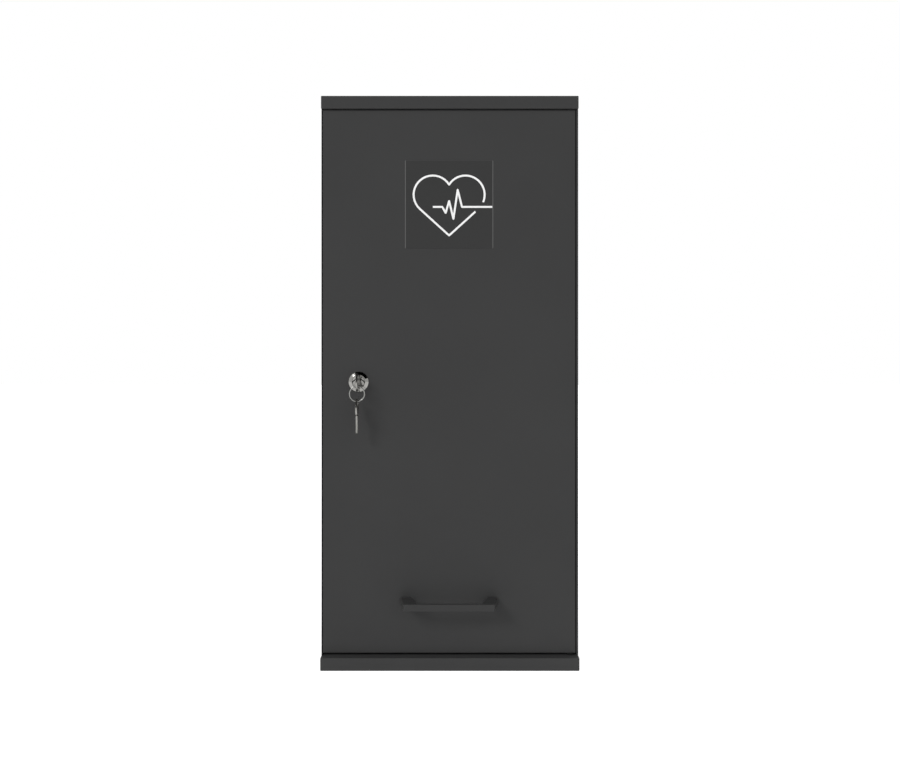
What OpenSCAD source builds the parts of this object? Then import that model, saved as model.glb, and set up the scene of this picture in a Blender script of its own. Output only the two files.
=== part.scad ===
// Lockable medicine cabinet: folded sheet steel, one pivoted door with a cam lock, three shelves.
// Millimetres. X runs across the front, Y from the front to the wall, Z up.
// The origin is under the middle of the bounding box, on the surface the cabinet stands on.

/* [Cabinet] */
// Width over the top cover and the base
cabinet_w = 300; // [260:1:400]
// Height over all
cabinet_h = 667; // [620:1:800]
// Depth from the wall to the front of the base
cabinet_d = 180; // [150:1:260]
// Sheet thickness of the carcass and the door
sheet = 0.8; // [0.6:0.1:1.2]
// Height of the folded top cover and base
tray_h = 15; // [12:0.5:22]
// Width of the flanges turned in under the trays
tray_flange = 20; // [18:1:24]
// How far each side panel stands inside the ends of the trays
side_setback = 0.2; // [0:0.1:2]
// How far the base reaches in front of the door
overhang = 9.5; // [5:0.5:14]
// How far the top cover reaches in front of the door
cover_overhang = 3; // [1.5:0.5:5]
// Width of the side panels' rear flanges
rear_flange = 12; // [8:1:20]

/* [Door] */
// Thickness of the folded door
door_t = 16; // [14:0.5:20]
// Width of the door's return flanges
door_return = 14; // [10:1:20]
// Gap between the door and the side panel at the lock
lock_gap = 0.6; // [0.5:0.1:2]
// Gap between the door and the side panel at the hinge
hinge_gap = 2.2; // [2.2:0.1:4]
// Width of the lip that hides most of that gap
hinge_lip = 1.3; // [0.8:0.1:1.4]
// Gap above the door
top_gap = 0.7; // [0.5:0.1:2]
// Gap under the door
bottom_gap = 2.4; // [2:0.1:4]
// Gap between the door and the stiles behind it
rear_gap = 2; // [2:0.1:4]
// Diameter of the hinge pins
pin_d = 5; // [4:0.5:6]
// Distance of the hinge axis from the door's edge
pin_inset = 6; // [6:0.5:7]
// Distance of the hinge axis behind the door's face
pin_setback = 4.5; // [4:0.5:4.5]
// How far each hinge pin reaches past the end of the door
pin_reach = 9; // [7:0.5:12]
// Wall of the hinge bushes
bush_wall = 1.5; // [1:0.25:2]
// Radial clearance of the hinge pins and the lock plug
running_fit = 0.05; // [0.03:0.01:0.1]
// Clearance of parts that are fixed in their holes
fixed_fit = 0.04; // [0.02:0.01:0.1]
// Height of the blocks that hold the hinge pins
block_h = 14; // [10:1:20]
// Width of the channel that stiffens the door
stiffener_w = 30; // [20:1:50]
// Depth of that channel
stiffener_d = 12; // [8:0.5:13]
// Width of the channel's feet on the door's sheet
stiffener_foot = 8; // [6:1:12]

/* [Stiles] */
// Width of the lock stile that the cam closes behind
lock_stile_w = 20; // [14:1:26]
// Width of the hinge stile
hinge_stile_w = 14; // [12:1:20]
// Depth of the leg that fixes a stile to its side panel
stile_leg = 15; // [10:1:20]
// Diameter of the rubber bumpers
bumper_d = 9; // [6:0.5:12]
// Height of each bumper above the bottom, or below the top, of the stile
bumper_inset = 60; // [30:5:120]

/* [Handle] */
// Distance between the handle's screws
handle_span = 101.6; // [64:0.1:128]
// Length of each foot on the door
handle_foot = 12; // [10:0.5:16]
// How far the handle stands out from the door
handle_reach = 28; // [26:0.5:40]
// Height of the handle's bar
handle_bar = 8; // [7:0.5:12]
// Thickness of the handle's bar
handle_t = 5; // [4:0.5:8]
// How far each end of the handle leans inwards
handle_lean = 5; // [2:0.5:8]
// How far the legs widen inwards to meet the bar
handle_web = 8; // [2:0.5:12]
// Height of the handle's centre above the cabinet's underside
handle_z = 78.5; // [50:0.5:200]
// Diameter of the handle's screws
screw_d = 4; // [3:0.5:5]
// Depth of the screw holes in the handle
screw_depth = 10; // [6:0.5:12]
// Diameter of the screws' heads
screw_head_d = 8; // [6:0.5:10]
// Height of the screws' heads
screw_head_h = 2.4; // [2:0.1:3.5]

/* [Lock] */
// Height of the lock above the cabinet's underside
lock_z = 334; // [250:1:420]
// Distance of the lock from the door's free edge
lock_inset = 42.1; // [36:0.1:60]
// Diameter of the lock's face
lock_face_d = 23.5; // [22:0.5:28]
// How far the lock's face stands out from the door
lock_face_t = 3; // [2:0.25:4]
// Width of the sloping rim around the lock's face
lock_rim_w = 2.7; // [0.5:0.1:2.8]
// Height of that slope
lock_rim_h = 1.6; // [0.5:0.1:1.8]
// Diameter of the lock's barrel
lock_barrel_d = 19; // [18:0.5:20]
// Diameter of the plug that the key turns
plug_d = 15; // [13:0.5:15.5]
// Width across the flats of the lock's nut
nut_af = 24; // [22:0.5:27]
// Thickness of the lock's nut
nut_t = 3; // [2:0.5:5]
// Reach of the cam from the lock's centre
cam_len = 34; // [28:1:38]
// Width of the cam
cam_w = 16; // [12:1:20]
// Thickness of the cam
cam_t = 2; // [1.5:0.25:3]
// Gap between the cam and the back of the lock stile
cam_gap = 1; // [0.5:0.1:2]
// Side of the square that drives the cam
cam_square = 8; // [7:0.5:9]
// Diameter of the cam's screw
cam_screw_d = 5; // [4:0.5:5]
// Length of the cam's screw
cam_screw_len = 6; // [5:0.5:6]

/* [Keys] */
// Diameter of each key's bow
bow_d = 20.7; // [18:0.1:24]
// Thickness of the keys
key_t = 2; // [1.6:0.1:2.4]
// Length of each key's blade
blade_len = 17; // [14:0.5:17]
// Height of each key's blade
blade_h = 8; // [6:0.5:9]
// Length of the neck between the bow and the blade
neck_len = 2; // [1.5:0.5:4]
// Diameter of the hole in the bow
bow_hole_d = 10.5; // [8:0.5:11]
// Distance of that hole from the middle of the bow
bow_hole_shift = 3; // [2:0.25:3.5]
// Outside diameter of the key ring
ring_d = 18.5; // [18:0.5:24]
// Diameter of the key ring's wire
wire_d = 1.3; // [1:0.1:1.6]
// Clearance between the ring and the keys that hang on it
link_gap = 0.3; // [0.2:0.05:0.5]
// Gap between a key's shoulder and the face of the plug
key_seat = 0.2; // [0.1:0.05:0.5]
// Clearance around the blade in the plug
keyway_gap = 0.15; // [0.1:0.05:0.3]

/* [Shelves] */
// Spacing of the slots in the shelf rails
slot_pitch = 32; // [30:1:38]
// Number of slots from one shelf to the next
shelf_step = 5; // [4:1:5]
// Height of the shelves' folded lips
shelf_lip = 12; // [8:1:20]
// Gap between each end of a shelf and the rails
shelf_end_gap = 1; // [0.5:0.1:2]
// Gap under a shelf where it rests on its clips
shelf_seat = 0.2; // [0.1:0.05:0.4]
// Width of the shelf rails
rail_w = 16; // [14:1:22]
// Depth of the shelf rails
rail_d = 4; // [3:0.5:6]
// Gap between the stiles' legs and the front rails
front_rail_gap = 7; // [4:1:20]
// Gap between the rear rails and the side panels' rear flanges
rear_rail_gap = 18; // [8:1:24]
// Gap above and below the rails
rail_margin = 12; // [6:1:16]
// Width of the slots
slot_w = 9; // [7:0.5:11]
// Height of the slots
slot_h = 3; // [2.5:0.25:4]
// Reach of the clips under a shelf
clip_reach = 10; // [7:0.5:14]
// Thickness of the clips
clip_t = 1; // [0.8:0.1:1.5]

/* [Wall fixing] */
// Distance between the wall screws across the cabinet
wall_span_x = 220; // [180:5:230]
// Distance between the wall screws up the cabinet
wall_span_z = 540; // [480:5:550]
// Diameter of the wall screw holes
wall_hole_d = 8; // [6:0.5:10]
// Thickness of the strips that stiffen the back at the wall screws
strip_t = 2; // [1.5:0.25:3]
// Height of those strips
strip_h = 30; // [24:1:40]

/* [Sign] */
// Side of the square sign
sign_side = 103; // [92:1:120]
// Distance of the sign's centre below the top
sign_drop = 126; // [90:1:180]
// Thickness of the sign's film
film_t = 0.2; // [0.1:0.05:0.4]
// Thickness of the white print on the film
print_t = 0.1; // [0.05:0.05:0.2]
// Width of the printed line
print_line = 2.25; // [2:0.25:5]
// Radius of the heart's two lobes
lobe_r = 22.4; // [16:0.1:23]
// Opening of the heart where the pulse line leaves it
heart_gap = 11; // [8:0.5:16]

/* [Hidden] */
$fn = 64;
eps = 1;                                         // overlap of a cutting tool with open space

// Colours
anthracite = "#3f4042";
anthracite_film = "#3b3c3d";
zinc = "#b9bcbf";
chrome = "#c3c1bc";
rubber = "#26262a";
nylon = "#2b2b2c";
white = "#f2f2f0";

// Depth: everything between the wall and what stands out furthest from the door
key_reach = lock_face_t + key_seat + neck_len + bow_d + bow_hole_shift;
reach = cabinet_d + max(handle_reach, key_reach) - overhang;
wall_y = reach / 2;
front_y = wall_y - cabinet_d;
door_y = front_y + overhang;                     // the door's face
cover_y = door_y - cover_overhang;               // front of the top cover
door_back_y = door_y + door_t;
stile_y = door_back_y + rear_gap;
back_y = wall_y - sheet;                         // inner face of the back panel

// Height
floor_z = tray_h;
ceiling_z = cabinet_h - tray_h;
inner_h = ceiling_z - floor_z;
door_z0 = floor_z + bottom_gap;
door_z1 = ceiling_z - top_gap;
door_h = door_z1 - door_z0;

// Width
side_x = cabinet_w / 2 - side_setback;           // outer face of a side panel
inner_x = side_x - sheet;
door_x0 = -inner_x + lock_gap;
door_x1 = inner_x - hinge_gap;
door_w = door_x1 - door_x0;
door_mid = (door_x0 + door_x1) / 2;

// Hinge
hinge_x = door_x1 - pin_inset;
hinge_y = door_y + pin_setback;
bush_d = pin_d + 2 * running_fit + 2 * bush_wall;
bush_flange_d = bush_d + 2;
bush_flange_t = 0.6;
bearing_gap = 0.3;                               // between the door and the bottom bush
block_w = 2 * (pin_inset - sheet);

// Lock
lock_x = door_x0 + lock_inset;
lock_front_y = door_y - lock_face_t;
cam_y = stile_y + sheet + cam_gap;
plug_clear = plug_d + 2 * running_fit;
barrel_gap = 1;                                  // between the barrel's end and the cam
cam_seat = 0.2;                                  // between the plug's shoulder and the cam
barrel_end_y = cam_y - barrel_gap;
plug_end_y = cam_y - cam_seat;
keyway_h = blade_h + 2 * keyway_gap;
keyway_spare = 0.5;                              // depth of the keyway past the blade's tip
keyway_end_y = lock_front_y + blade_len + keyway_spare;
cam_screw_head_d = 10;
cam_screw_head_h = 2.5;
cam_screw_front_y = cam_y + cam_t - cam_screw_len;
cam_screw_spare = 0.5;                           // depth of its hole past the screw's end

// Keys
key_y = lock_front_y - key_seat;                  // the shoulder of the key in the lock
bow_y = key_y - neck_len - bow_d / 2;
hole_y = bow_y - bow_hole_shift;
ring_r = (ring_d - wire_d) / 2;
ring_top_z = lock_z - bow_hole_d / 2 + link_gap + wire_d / 2;
ring_mid_z = ring_top_z - ring_r;
ring_low_z = ring_mid_z - ring_r;
spare_hole_z = ring_low_z + link_gap + wire_d / 2 - bow_hole_d / 2;
neck_h = blade_h * 1.2;
key_tip = 1;                                     // chamfer at the blade's tip
notch = 3;                                       // height of the triangle that cuts a notch
notches = [[4, 1.2], [7, 2], [10, 1], [13, 1.6]];   // place along the blade and depth

// Shelves
rail_x = inner_x - rail_d;                       // face of a rail
rail_ys = [stile_y + stile_leg + front_rail_gap, back_y - sheet - rear_rail_gap - rail_w];
rail_h = inner_h - 2 * rail_margin;
slot_count = floor((rail_h - 2 * slot_pitch) / slot_pitch) + 1;
shelf_w = 2 * (rail_x - shelf_end_gap);
shelf_front_gap = 2;                             // behind the stiles' legs
shelf_rear_gap = 3;                              // in front of the rear flanges
shelf_y0 = stile_y + stile_leg + shelf_front_gap;
shelf_y1 = back_y - sheet - shelf_rear_gap;
slot_play = 1;
clip_w = slot_w - slot_play;
clip_plate_h = 12;
clip_tooth = 1.8;                                // how far a clip reaches into its slot
clip_zs = [for (k = [1 : 3]) floor_z + k * shelf_step * slot_pitch];

// Wall fixing
wall_mid_z = cabinet_h / 2;
strip_gap = 2;                                   // between a strip and the rear flanges
strip_w = 2 * (inner_x - rear_flange - strip_gap);

// Sign: two round lobes, two straight flanks and a pulse line
film_y = door_y - film_t;
sign_z = cabinet_h - sign_drop;
lobe_x = lobe_r * 0.85;                          // place of a lobe's centre
lobe_z = lobe_r * 0.5;
tip_z = -lobe_r * 1.62;
pulse_z = -3;
flank_turn = atan2(lobe_x, lobe_z - tip_z) + asin(lobe_r / norm([lobe_x, lobe_z - tip_z]));
flank_end = [lobe_x + lobe_r * cos(flank_turn), lobe_z - lobe_r * sin(flank_turn)];
cleft_turn = 180 - acos(lobe_x / lobe_r);
gap_top_turn = asin((pulse_z + heart_gap / 2 - lobe_z) / lobe_r);
gap_low_z = pulse_z - heart_gap / 2;
gap_low_x = flank_end[0] * (gap_low_z - tip_z) / (flank_end[1] - tip_z);
lobe_steps = 20;

// Left lobe from its flank up to the cleft, then the right lobe down to the opening
function lobe_turns(from, to) = [for (k = [0 : lobe_steps]) from + (to - from) * k / lobe_steps];
function on_lobe(turn) = [lobe_x + lobe_r * cos(turn), lobe_z + lobe_r * sin(turn)];
heart = concat(
    [[gap_low_x, gap_low_z], [0, tip_z]],
    [for (t = lobe_turns(-flank_turn, cleft_turn)) [-on_lobe(t)[0], on_lobe(t)[1]]],
    [for (t = lobe_turns(cleft_turn, gap_top_turn)) if (t < cleft_turn) on_lobe(t)]
);
pulse = [for (p = [[-19, 0], [-8, 0], [-4, -7], [0, 7], [5, -14], [10, 20], [15, 0]]) p + [0, pulse_z]];
pulse_end = [[sign_side / 2 - print_line / 2, pulse_z]];

// Helpers
function around(mid, width) = [mid - width / 2, mid + width / 2];

module block(x, y, z) {                          // box from three [low, high] pairs
    translate([x[0], y[0], z[0]]) cube([x[1] - x[0], y[1] - y[0], z[1] - z[0]]);
}

module along_y(y0, y1, d, x = 0, z = 0) {        // cylinder along Y
    translate([x, y0, z]) rotate([-90, 0, 0]) cylinder(h = y1 - y0, d = d);
}

module along_z(z0, z1, d, x = 0, y = 0) {        // cylinder along Z
    translate([x, y, z0]) cylinder(h = z1 - z0, d = d);
}

// Folded tray from the wall to y0, with its sheet at the top, lips down and flanges turned in
module tray(y0, h) {
    y = [y0, wall_y];
    difference() {
        block([-cabinet_w / 2, cabinet_w / 2], y, [0, h]);
        block([-cabinet_w / 2 + sheet, cabinet_w / 2 - sheet], y + [sheet, -sheet], [sheet, h - sheet]);
        block([-cabinet_w / 2 + tray_flange, cabinet_w / 2 - tray_flange],
              y + [tray_flange, -tray_flange], [-eps, h / 2]);
    }
}

module bush_hole(z0, z1) {
    along_z(z0, z1, bush_d + 2 * fixed_fit, hinge_x, hinge_y);
}

// Carcass
module top_cover() {
    color(anthracite) difference() {
        translate([0, 0, ceiling_z]) tray(cover_y, tray_h);
        bush_hole(ceiling_z - eps, ceiling_z + tray_h / 2);
    }
}

module ceiling_panel() {
    z = ceiling_z + sheet;
    color(anthracite) difference() {
        block([-1, 1] * (cabinet_w / 2 - sheet), [cover_y + sheet, wall_y - sheet], [z, z + sheet]);
        bush_hole(z - eps, z + sheet + eps);
    }
}

module base_tray() {
    color(anthracite) difference() {
        tray(front_y, tray_h);
        bush_hole(tray_h / 2, tray_h + eps);
    }
}

module side_panel() {                            // the right-hand one
    color(anthracite) {
        block([inner_x, side_x], [door_y, wall_y], [floor_z, ceiling_z]);
        block([inner_x - rear_flange, inner_x], [back_y - sheet, back_y], [floor_z, ceiling_z]);
    }
}

module left_side_panel() mirror([1, 0, 0]) side_panel();

module right_side_panel() {
    side_panel();
    color(anthracite) block([inner_x - hinge_lip, inner_x], [door_y, door_y + sheet], [floor_z, ceiling_z]);
}

module wall_holes(y0, y1) {
    for (x = around(0, wall_span_x), z = around(wall_mid_z, wall_span_z))
        along_y(y0, y1, wall_hole_d, x, z);
}

module back_panel() {
    color(anthracite) difference() {
        block([-inner_x, inner_x], [back_y, wall_y], [floor_z, ceiling_z]);
        wall_holes(back_y - eps, wall_y + eps);
    }
}

module wall_strips() {
    color(zinc) difference() {
        for (z = around(wall_mid_z, wall_span_z))
            block(around(0, strip_w), [back_y - strip_t, back_y], around(z, strip_h));
        wall_holes(back_y - strip_t - eps, back_y + eps);
    }
}

module stile(w) {                                // at the right-hand side panel
    color(anthracite)
        block([inner_x - w, inner_x], [stile_y, stile_y + sheet], [floor_z, ceiling_z]);
}

module lock_stile() mirror([1, 0, 0]) stile(lock_stile_w);

module hinge_stile() stile(hinge_stile_w);

module stile_legs() {                            // folded back from the stiles along the sides
    color(anthracite) for (side = [0, 1]) mirror([side, 0, 0])
        block([inner_x - sheet, inner_x], [stile_y + sheet, stile_y + stile_leg], [floor_z, ceiling_z]);
}

module door_bumpers() {
    x = -inner_x + lock_gap + door_return / 2;
    color(rubber) for (z = [floor_z + bumper_inset, ceiling_z - bumper_inset])
        along_y(door_back_y + bearing_gap, stile_y, bumper_d, x, z);
}

// Hinge bushes: a barrel through the sheets, and a flange
module top_hinge_bush() {
    z = ceiling_z + 2 * sheet;
    color(nylon) difference() {
        union() {
            along_z(ceiling_z, z + pin_reach / 2, bush_d, hinge_x, hinge_y);
            along_z(z, z + bush_flange_t, bush_flange_d, hinge_x, hinge_y);
        }
        along_z(ceiling_z - eps, z + pin_reach, pin_d + 2 * running_fit, hinge_x, hinge_y);
    }
}

module bottom_hinge_bush() {
    color(nylon) difference() {
        union() {
            along_z(floor_z - sheet - pin_reach / 2, floor_z, bush_d, hinge_x, hinge_y);
            along_z(floor_z, door_z0 - bearing_gap, bush_flange_d, hinge_x, hinge_y);
        }
        along_z(floor_z - pin_reach, door_z0, pin_d + 2 * running_fit, hinge_x, hinge_y);
    }
}

// Slotted rails: channels open towards the side panel
module rail() {                                  // at the right-hand side panel, from y = 0
    z = floor_z + rail_margin;
    difference() {
        block([rail_x, inner_x], [0, rail_w], [z, z + rail_h]);
        block([rail_x + sheet, inner_x + eps], [sheet, rail_w - sheet], [z - eps, z + rail_h + eps]);
        for (k = [1 : slot_count])
            block([rail_x - eps, rail_x + 2 * sheet], around(rail_w / 2, slot_w),
                  around(floor_z + k * slot_pitch - slot_h / 2, slot_h));
    }
}

module shelf_rails() {
    color(zinc) for (side = [0, 1], y = rail_ys)
        mirror([side, 0, 0]) translate([0, y, 0]) rail();
}

// A clip: plate on the rail, tooth in the slot, tongue under the shelf
module clip() {                                  // its tongue's top at z = 0
    y = around(rail_w / 2, clip_w);
    block([rail_x - clip_t, rail_x], y, [-clip_plate_h, 0]);
    block([rail_x, rail_x + clip_tooth], y, around(-slot_h / 2, clip_t));
    block([rail_x - clip_reach, rail_x - clip_t], y, [-clip_t, 0]);
}

module shelf_clips() {
    color(zinc) for (side = [0, 1], y = rail_ys, z = clip_zs)
        mirror([side, 0, 0]) translate([0, y, z]) clip();
}

// A shelf: a sheet with lips turned down at the front and the back
module shelf(k) {
    z = clip_zs[k] + shelf_seat;
    x = around(0, shelf_w);
    color(anthracite) {
        block(x, [shelf_y0, shelf_y1], [z, z + sheet]);
        block(x, [shelf_y0, shelf_y0 + sheet], [z - shelf_lip, z]);
        block(x, [shelf_y1 - sheet, shelf_y1], [z - shelf_lip, z]);
    }
}

module lower_shelf() shelf(0);

module middle_shelf() shelf(1);

module upper_shelf() shelf(2);

// Door: a folded pan, open at the back between its return flanges
module door_skin() {                             // its face
    y = door_y + sheet;
    color(anthracite) difference() {
        block([door_x0, door_x1], [door_y, y], [door_z0, door_z1]);
        along_y(door_y - eps, y + eps, lock_barrel_d + 2 * fixed_fit, lock_x, lock_z);
        handle_holes(door_y - eps, y + eps);
    }
}

module door_side_returns() {                     // its two long folded edges
    y = [door_y + sheet, door_back_y];
    color(anthracite) for (side = [0, 1])
        translate([door_mid, 0, 0]) mirror([side, 0, 0]) {
            block([door_w / 2 - sheet, door_w / 2], y, [door_z0, door_z1]);
            block([door_w / 2 - door_return, door_w / 2 - sheet], [y[1] - sheet, y[1]],
                  [door_z0 + sheet, door_z1 - sheet]);
        }
}

module door_end_returns() {                      // its two short folded edges
    y = [door_y + sheet, door_back_y];
    color(anthracite) difference() {
        for (side = [0, 1])
            translate([door_mid, 0, (door_z0 + door_z1) / 2]) mirror([0, 0, side]) {
                block(around(0, door_w - 2 * sheet), y, [door_h / 2 - sheet, door_h / 2]);
                block(around(0, door_w - 2 * door_return), [y[1] - sheet, y[1]],
                      [door_h / 2 - door_return, door_h / 2 - sheet]);
            }
        along_z(door_z0 - eps, door_z1 + eps, pin_d + 2 * fixed_fit, hinge_x, hinge_y);
    }
}

module handle_holes(y0, y1) {
    for (x = around(door_mid, handle_span))
        along_y(y0, y1, screw_d + 2 * running_fit, x, handle_z);
}

module door_stiffener() {
    w = stiffener_w / 2;
    color(zinc) translate([door_mid, door_y + sheet, door_z0 + door_return])
        linear_extrude(door_h - 2 * door_return) union() {
            for (side = [0, 1]) mirror([side, 0]) {
                translate([w, 0]) square([stiffener_foot, sheet]);
                translate([w - sheet, 0]) square([sheet, stiffener_d]);
            }
            translate([-w, stiffener_d - sheet]) square([2 * w, sheet]);
        }
}

module pin_blocks() {
    color(zinc) difference() {
        for (z = [door_z0 + sheet, door_z1 - sheet - block_h])
            block(around(hinge_x, block_w), [door_y + sheet, door_back_y - sheet], [z, z + block_h]);
        along_z(door_z0, door_z1, pin_d + 2 * fixed_fit, hinge_x, hinge_y);
    }
}

module top_hinge_pin() {
    color(chrome) along_z(door_z1 - block_h, door_z1 + top_gap + pin_reach, pin_d, hinge_x, hinge_y);
}

module bottom_hinge_pin() {
    color(chrome) along_z(floor_z - pin_reach, door_z0 + block_h, pin_d, hinge_x, hinge_y);
}

// Handle: a bar bent to a bridge, seen from above as a trapezium
module handle_outline() {
    foot = handle_span / 2 + handle_foot / 2;
    bar = foot - handle_lean;
    inner = foot - handle_foot;
    polygon([[-foot, 0], [-bar, -handle_reach], [bar, -handle_reach], [foot, 0],
             [inner, 0], [inner - handle_web, handle_t - handle_reach],
             [handle_web - inner, handle_t - handle_reach], [-inner, 0]]);
}

module handle() {
    color(anthracite) difference() {
        translate([door_mid, door_y, handle_z - handle_bar / 2])
            linear_extrude(handle_bar) handle_outline();
        translate([0, -screw_depth, 0]) handle_holes(door_y, door_y + screw_depth + eps);
    }
}

module handle_screws() {
    y = door_y + sheet;
    color(zinc) for (x = around(door_mid, handle_span)) {
        along_y(door_y - screw_depth + 1, y, screw_d, x, handle_z);
        along_y(y, y + screw_head_h, screw_head_d, x, handle_z);
    }
}

// Sign: a square film with a heart and a pulse line in white
module sign_film() {
    color(anthracite_film)
        block(around(door_mid, sign_side), [film_y, door_y], around(sign_z, sign_side));
}

// Outline of a line of even width along a path, mitred, and blunt outside a sharp corner
function unit(v) = v / norm(v);

function left_of(v) = [-v[1], v[0]];

function corner(p, u, v, s) = let (a = s * left_of(u), b = s * left_of(v))
    s * cross(u, v) > 0 || u * v > 0.9
        ? [p + (a + b) / (1 + u * v) * print_line / 2]
        : [for (n = [a, unit(a + b), b]) p + n * print_line / 2];

function edge(path, s) = let (last = len(path) - 1, d = [for (k = [1 : last]) unit(path[k] - path[k - 1])])
    concat([path[0] + s * left_of(d[0]) * print_line / 2],
           [for (k = [1 : last - 1]) each corner(path[k], d[k - 1], d[k], s)],
           [path[last] + s * left_of(d[last - 1]) * print_line / 2]);

module printed(path) {
    right = edge(path, -1);
    polygon(concat(edge(path, 1), [for (k = [len(right) - 1 : -1 : 0]) right[k]]));
}

module sign_print() {
    color(white) for (path = [heart, concat(pulse, pulse_end)])
        translate([door_mid, film_y, sign_z]) rotate([90, 0, 0]) linear_extrude(print_t) printed(path);
}

// Lock
module lock_housing() {
    rim = lock_face_d / 2;
    color(chrome) difference() {
        union() {
            translate([lock_x, lock_front_y, lock_z]) rotate([-90, 0, 0])
                rotate_extrude() polygon([[0, 0], [rim - lock_rim_w, 0], [rim, lock_rim_h],
                                          [rim, lock_face_t], [0, lock_face_t]]);
            along_y(door_y, barrel_end_y, lock_barrel_d, lock_x, lock_z);
        }
        along_y(lock_front_y - eps, barrel_end_y + eps, plug_clear, lock_x, lock_z);
    }
}

module lock_nut() {
    y = door_y + sheet;
    color(zinc) difference() {
        translate([lock_x, y, lock_z]) rotate([-90, 0, 0]) cylinder(h = nut_t, d = nut_af / cos(30), $fn = 6);
        along_y(y - eps, y + nut_t + eps, lock_barrel_d + 2 * fixed_fit, lock_x, lock_z);
    }
}

module lock_plug() {
    color(chrome) difference() {
        union() {
            along_y(lock_front_y, plug_end_y, plug_d, lock_x, lock_z);
            block(around(lock_x, cam_square), [plug_end_y - eps, cam_y + cam_t], around(lock_z, cam_square));
        }
        block(around(lock_x, key_t + 2 * keyway_gap), [lock_front_y - eps, keyway_end_y],
              around(lock_z, keyway_h));
        along_y(cam_screw_front_y - cam_screw_spare, cam_y + cam_t + eps, cam_screw_d + 2 * fixed_fit,
                lock_x, lock_z);
    }
}

module lock_cam() {
    hole = cam_square + 2 * fixed_fit;
    color(zinc) difference() {
        union() {
            along_y(cam_y, cam_y + cam_t, cam_w, lock_x, lock_z);
            block(around(lock_x, cam_w), [cam_y, cam_y + cam_t], [lock_z - cam_len, lock_z]);
        }
        block(around(lock_x, hole), [cam_y - eps, cam_y + cam_t + eps], around(lock_z, hole));
    }
}

module cam_screw() {
    y = cam_y + cam_t;
    color(zinc) {
        along_y(cam_screw_front_y, y, cam_screw_d, lock_x, lock_z);
        along_y(y, y + cam_screw_head_h, cam_screw_head_d, lock_x, lock_z);
    }
}

// A key lying in the Y-Z plane, blade towards +Y, its shoulder at the origin
module flat_key() {
    rotate([0, 90, 0]) rotate(90) translate([0, 0, -key_t / 2]) linear_extrude(key_t) difference() {
        union() {
            translate([-neck_len - bow_d / 2, 0]) circle(d = bow_d);
            translate([-neck_len - bow_d / 4, -neck_h / 2]) square([neck_len + bow_d / 4, neck_h]);
            translate([-eps, -blade_h / 2]) square([blade_len + eps - key_tip, blade_h]);
            translate([blade_len - key_tip, -blade_h / 2])
                polygon([[0, 0], [key_tip, key_tip], [key_tip, blade_h - key_tip], [0, blade_h]]);
        }
        translate([-neck_len - bow_d / 2 - bow_hole_shift, 0]) circle(d = bow_hole_d);
        for (n = notches)
            translate([n[0], blade_h / 2 - n[1]]) polygon([[0, 0], [notch, notch], [-notch, notch]]);
    }
}

module key() {
    color(zinc) translate([lock_x, key_y, lock_z]) flat_key();
}

module spare_key() {
    shoulder = neck_len + bow_d / 2 + bow_hole_shift;
    color(zinc) translate([lock_x, hole_y, spare_hole_z - shoulder]) rotate([-90, 0, 0]) flat_key();
}

module key_ring() {
    color(chrome) translate([lock_x, hole_y, ring_mid_z]) rotate([90, 0, 0])
        rotate_extrude() translate([ring_r, 0]) circle(d = wire_d, $fn = 32);
}

top_cover();
ceiling_panel();
base_tray();
left_side_panel();
right_side_panel();
back_panel();
lock_stile();
hinge_stile();
stile_legs();
wall_strips();
shelf_rails();
shelf_clips();
top_hinge_bush();
bottom_hinge_bush();
door_bumpers();
lower_shelf();
middle_shelf();
upper_shelf();
door_skin();
door_side_returns();
door_end_returns();
door_stiffener();
pin_blocks();
top_hinge_pin();
bottom_hinge_pin();
handle();
handle_screws();
sign_film();
sign_print();
lock_housing();
lock_nut();
lock_plug();
lock_cam();
cam_screw();
key();
key_ring();
spare_key();
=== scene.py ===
import math

import bpy
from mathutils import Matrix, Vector


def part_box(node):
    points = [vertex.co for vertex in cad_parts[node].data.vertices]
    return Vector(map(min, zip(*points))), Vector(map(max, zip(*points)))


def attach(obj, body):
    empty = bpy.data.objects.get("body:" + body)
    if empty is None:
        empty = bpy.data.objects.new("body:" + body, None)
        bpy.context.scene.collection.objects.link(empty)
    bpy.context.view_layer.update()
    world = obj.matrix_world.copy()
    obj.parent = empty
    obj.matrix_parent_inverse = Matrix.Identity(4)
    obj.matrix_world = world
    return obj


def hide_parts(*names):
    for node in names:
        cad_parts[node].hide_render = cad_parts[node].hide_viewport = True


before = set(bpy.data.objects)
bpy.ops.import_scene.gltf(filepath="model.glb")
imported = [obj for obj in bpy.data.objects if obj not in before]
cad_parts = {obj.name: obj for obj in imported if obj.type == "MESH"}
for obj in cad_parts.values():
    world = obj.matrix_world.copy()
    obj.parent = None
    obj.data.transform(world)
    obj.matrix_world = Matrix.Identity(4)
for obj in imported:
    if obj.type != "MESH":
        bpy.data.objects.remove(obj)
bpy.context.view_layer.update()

across, back, up = Vector((1, 0, 0)), Vector((0, 1, 0)), Vector((0, 0, 1))
near = 1e-6                            # places closer than this are the same place
beyond = 0.001                         # how far a cutter stands out of what it cuts
facing = 0.9                           # a face looks one way when its normal does by this much
wallLow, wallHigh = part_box("back_panel")
sheet = wallHigh.y - wallLow.y         # thickness of the folded steel


def middleOf(node):
    low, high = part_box(node)
    return (low + high) / 2


def radiusOf(node):                    # of a round piece, by its width
    low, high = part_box(node)
    return (high.x - low.x) / 2


def same(one, other):
    return abs(one - other) < near


def startClean():                      # the loaded nodes come in selected
    bpy.ops.object.select_all(action="DESELECT")


def pickObject(piece):
    startClean()
    piece.select_set(True)
    bpy.context.view_layer.objects.active = piece


def settle(piece):                     # place, turn and size go into the mesh
    pickObject(piece)
    bpy.ops.object.transform_apply(location=True, rotation=True, scale=True)


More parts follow.
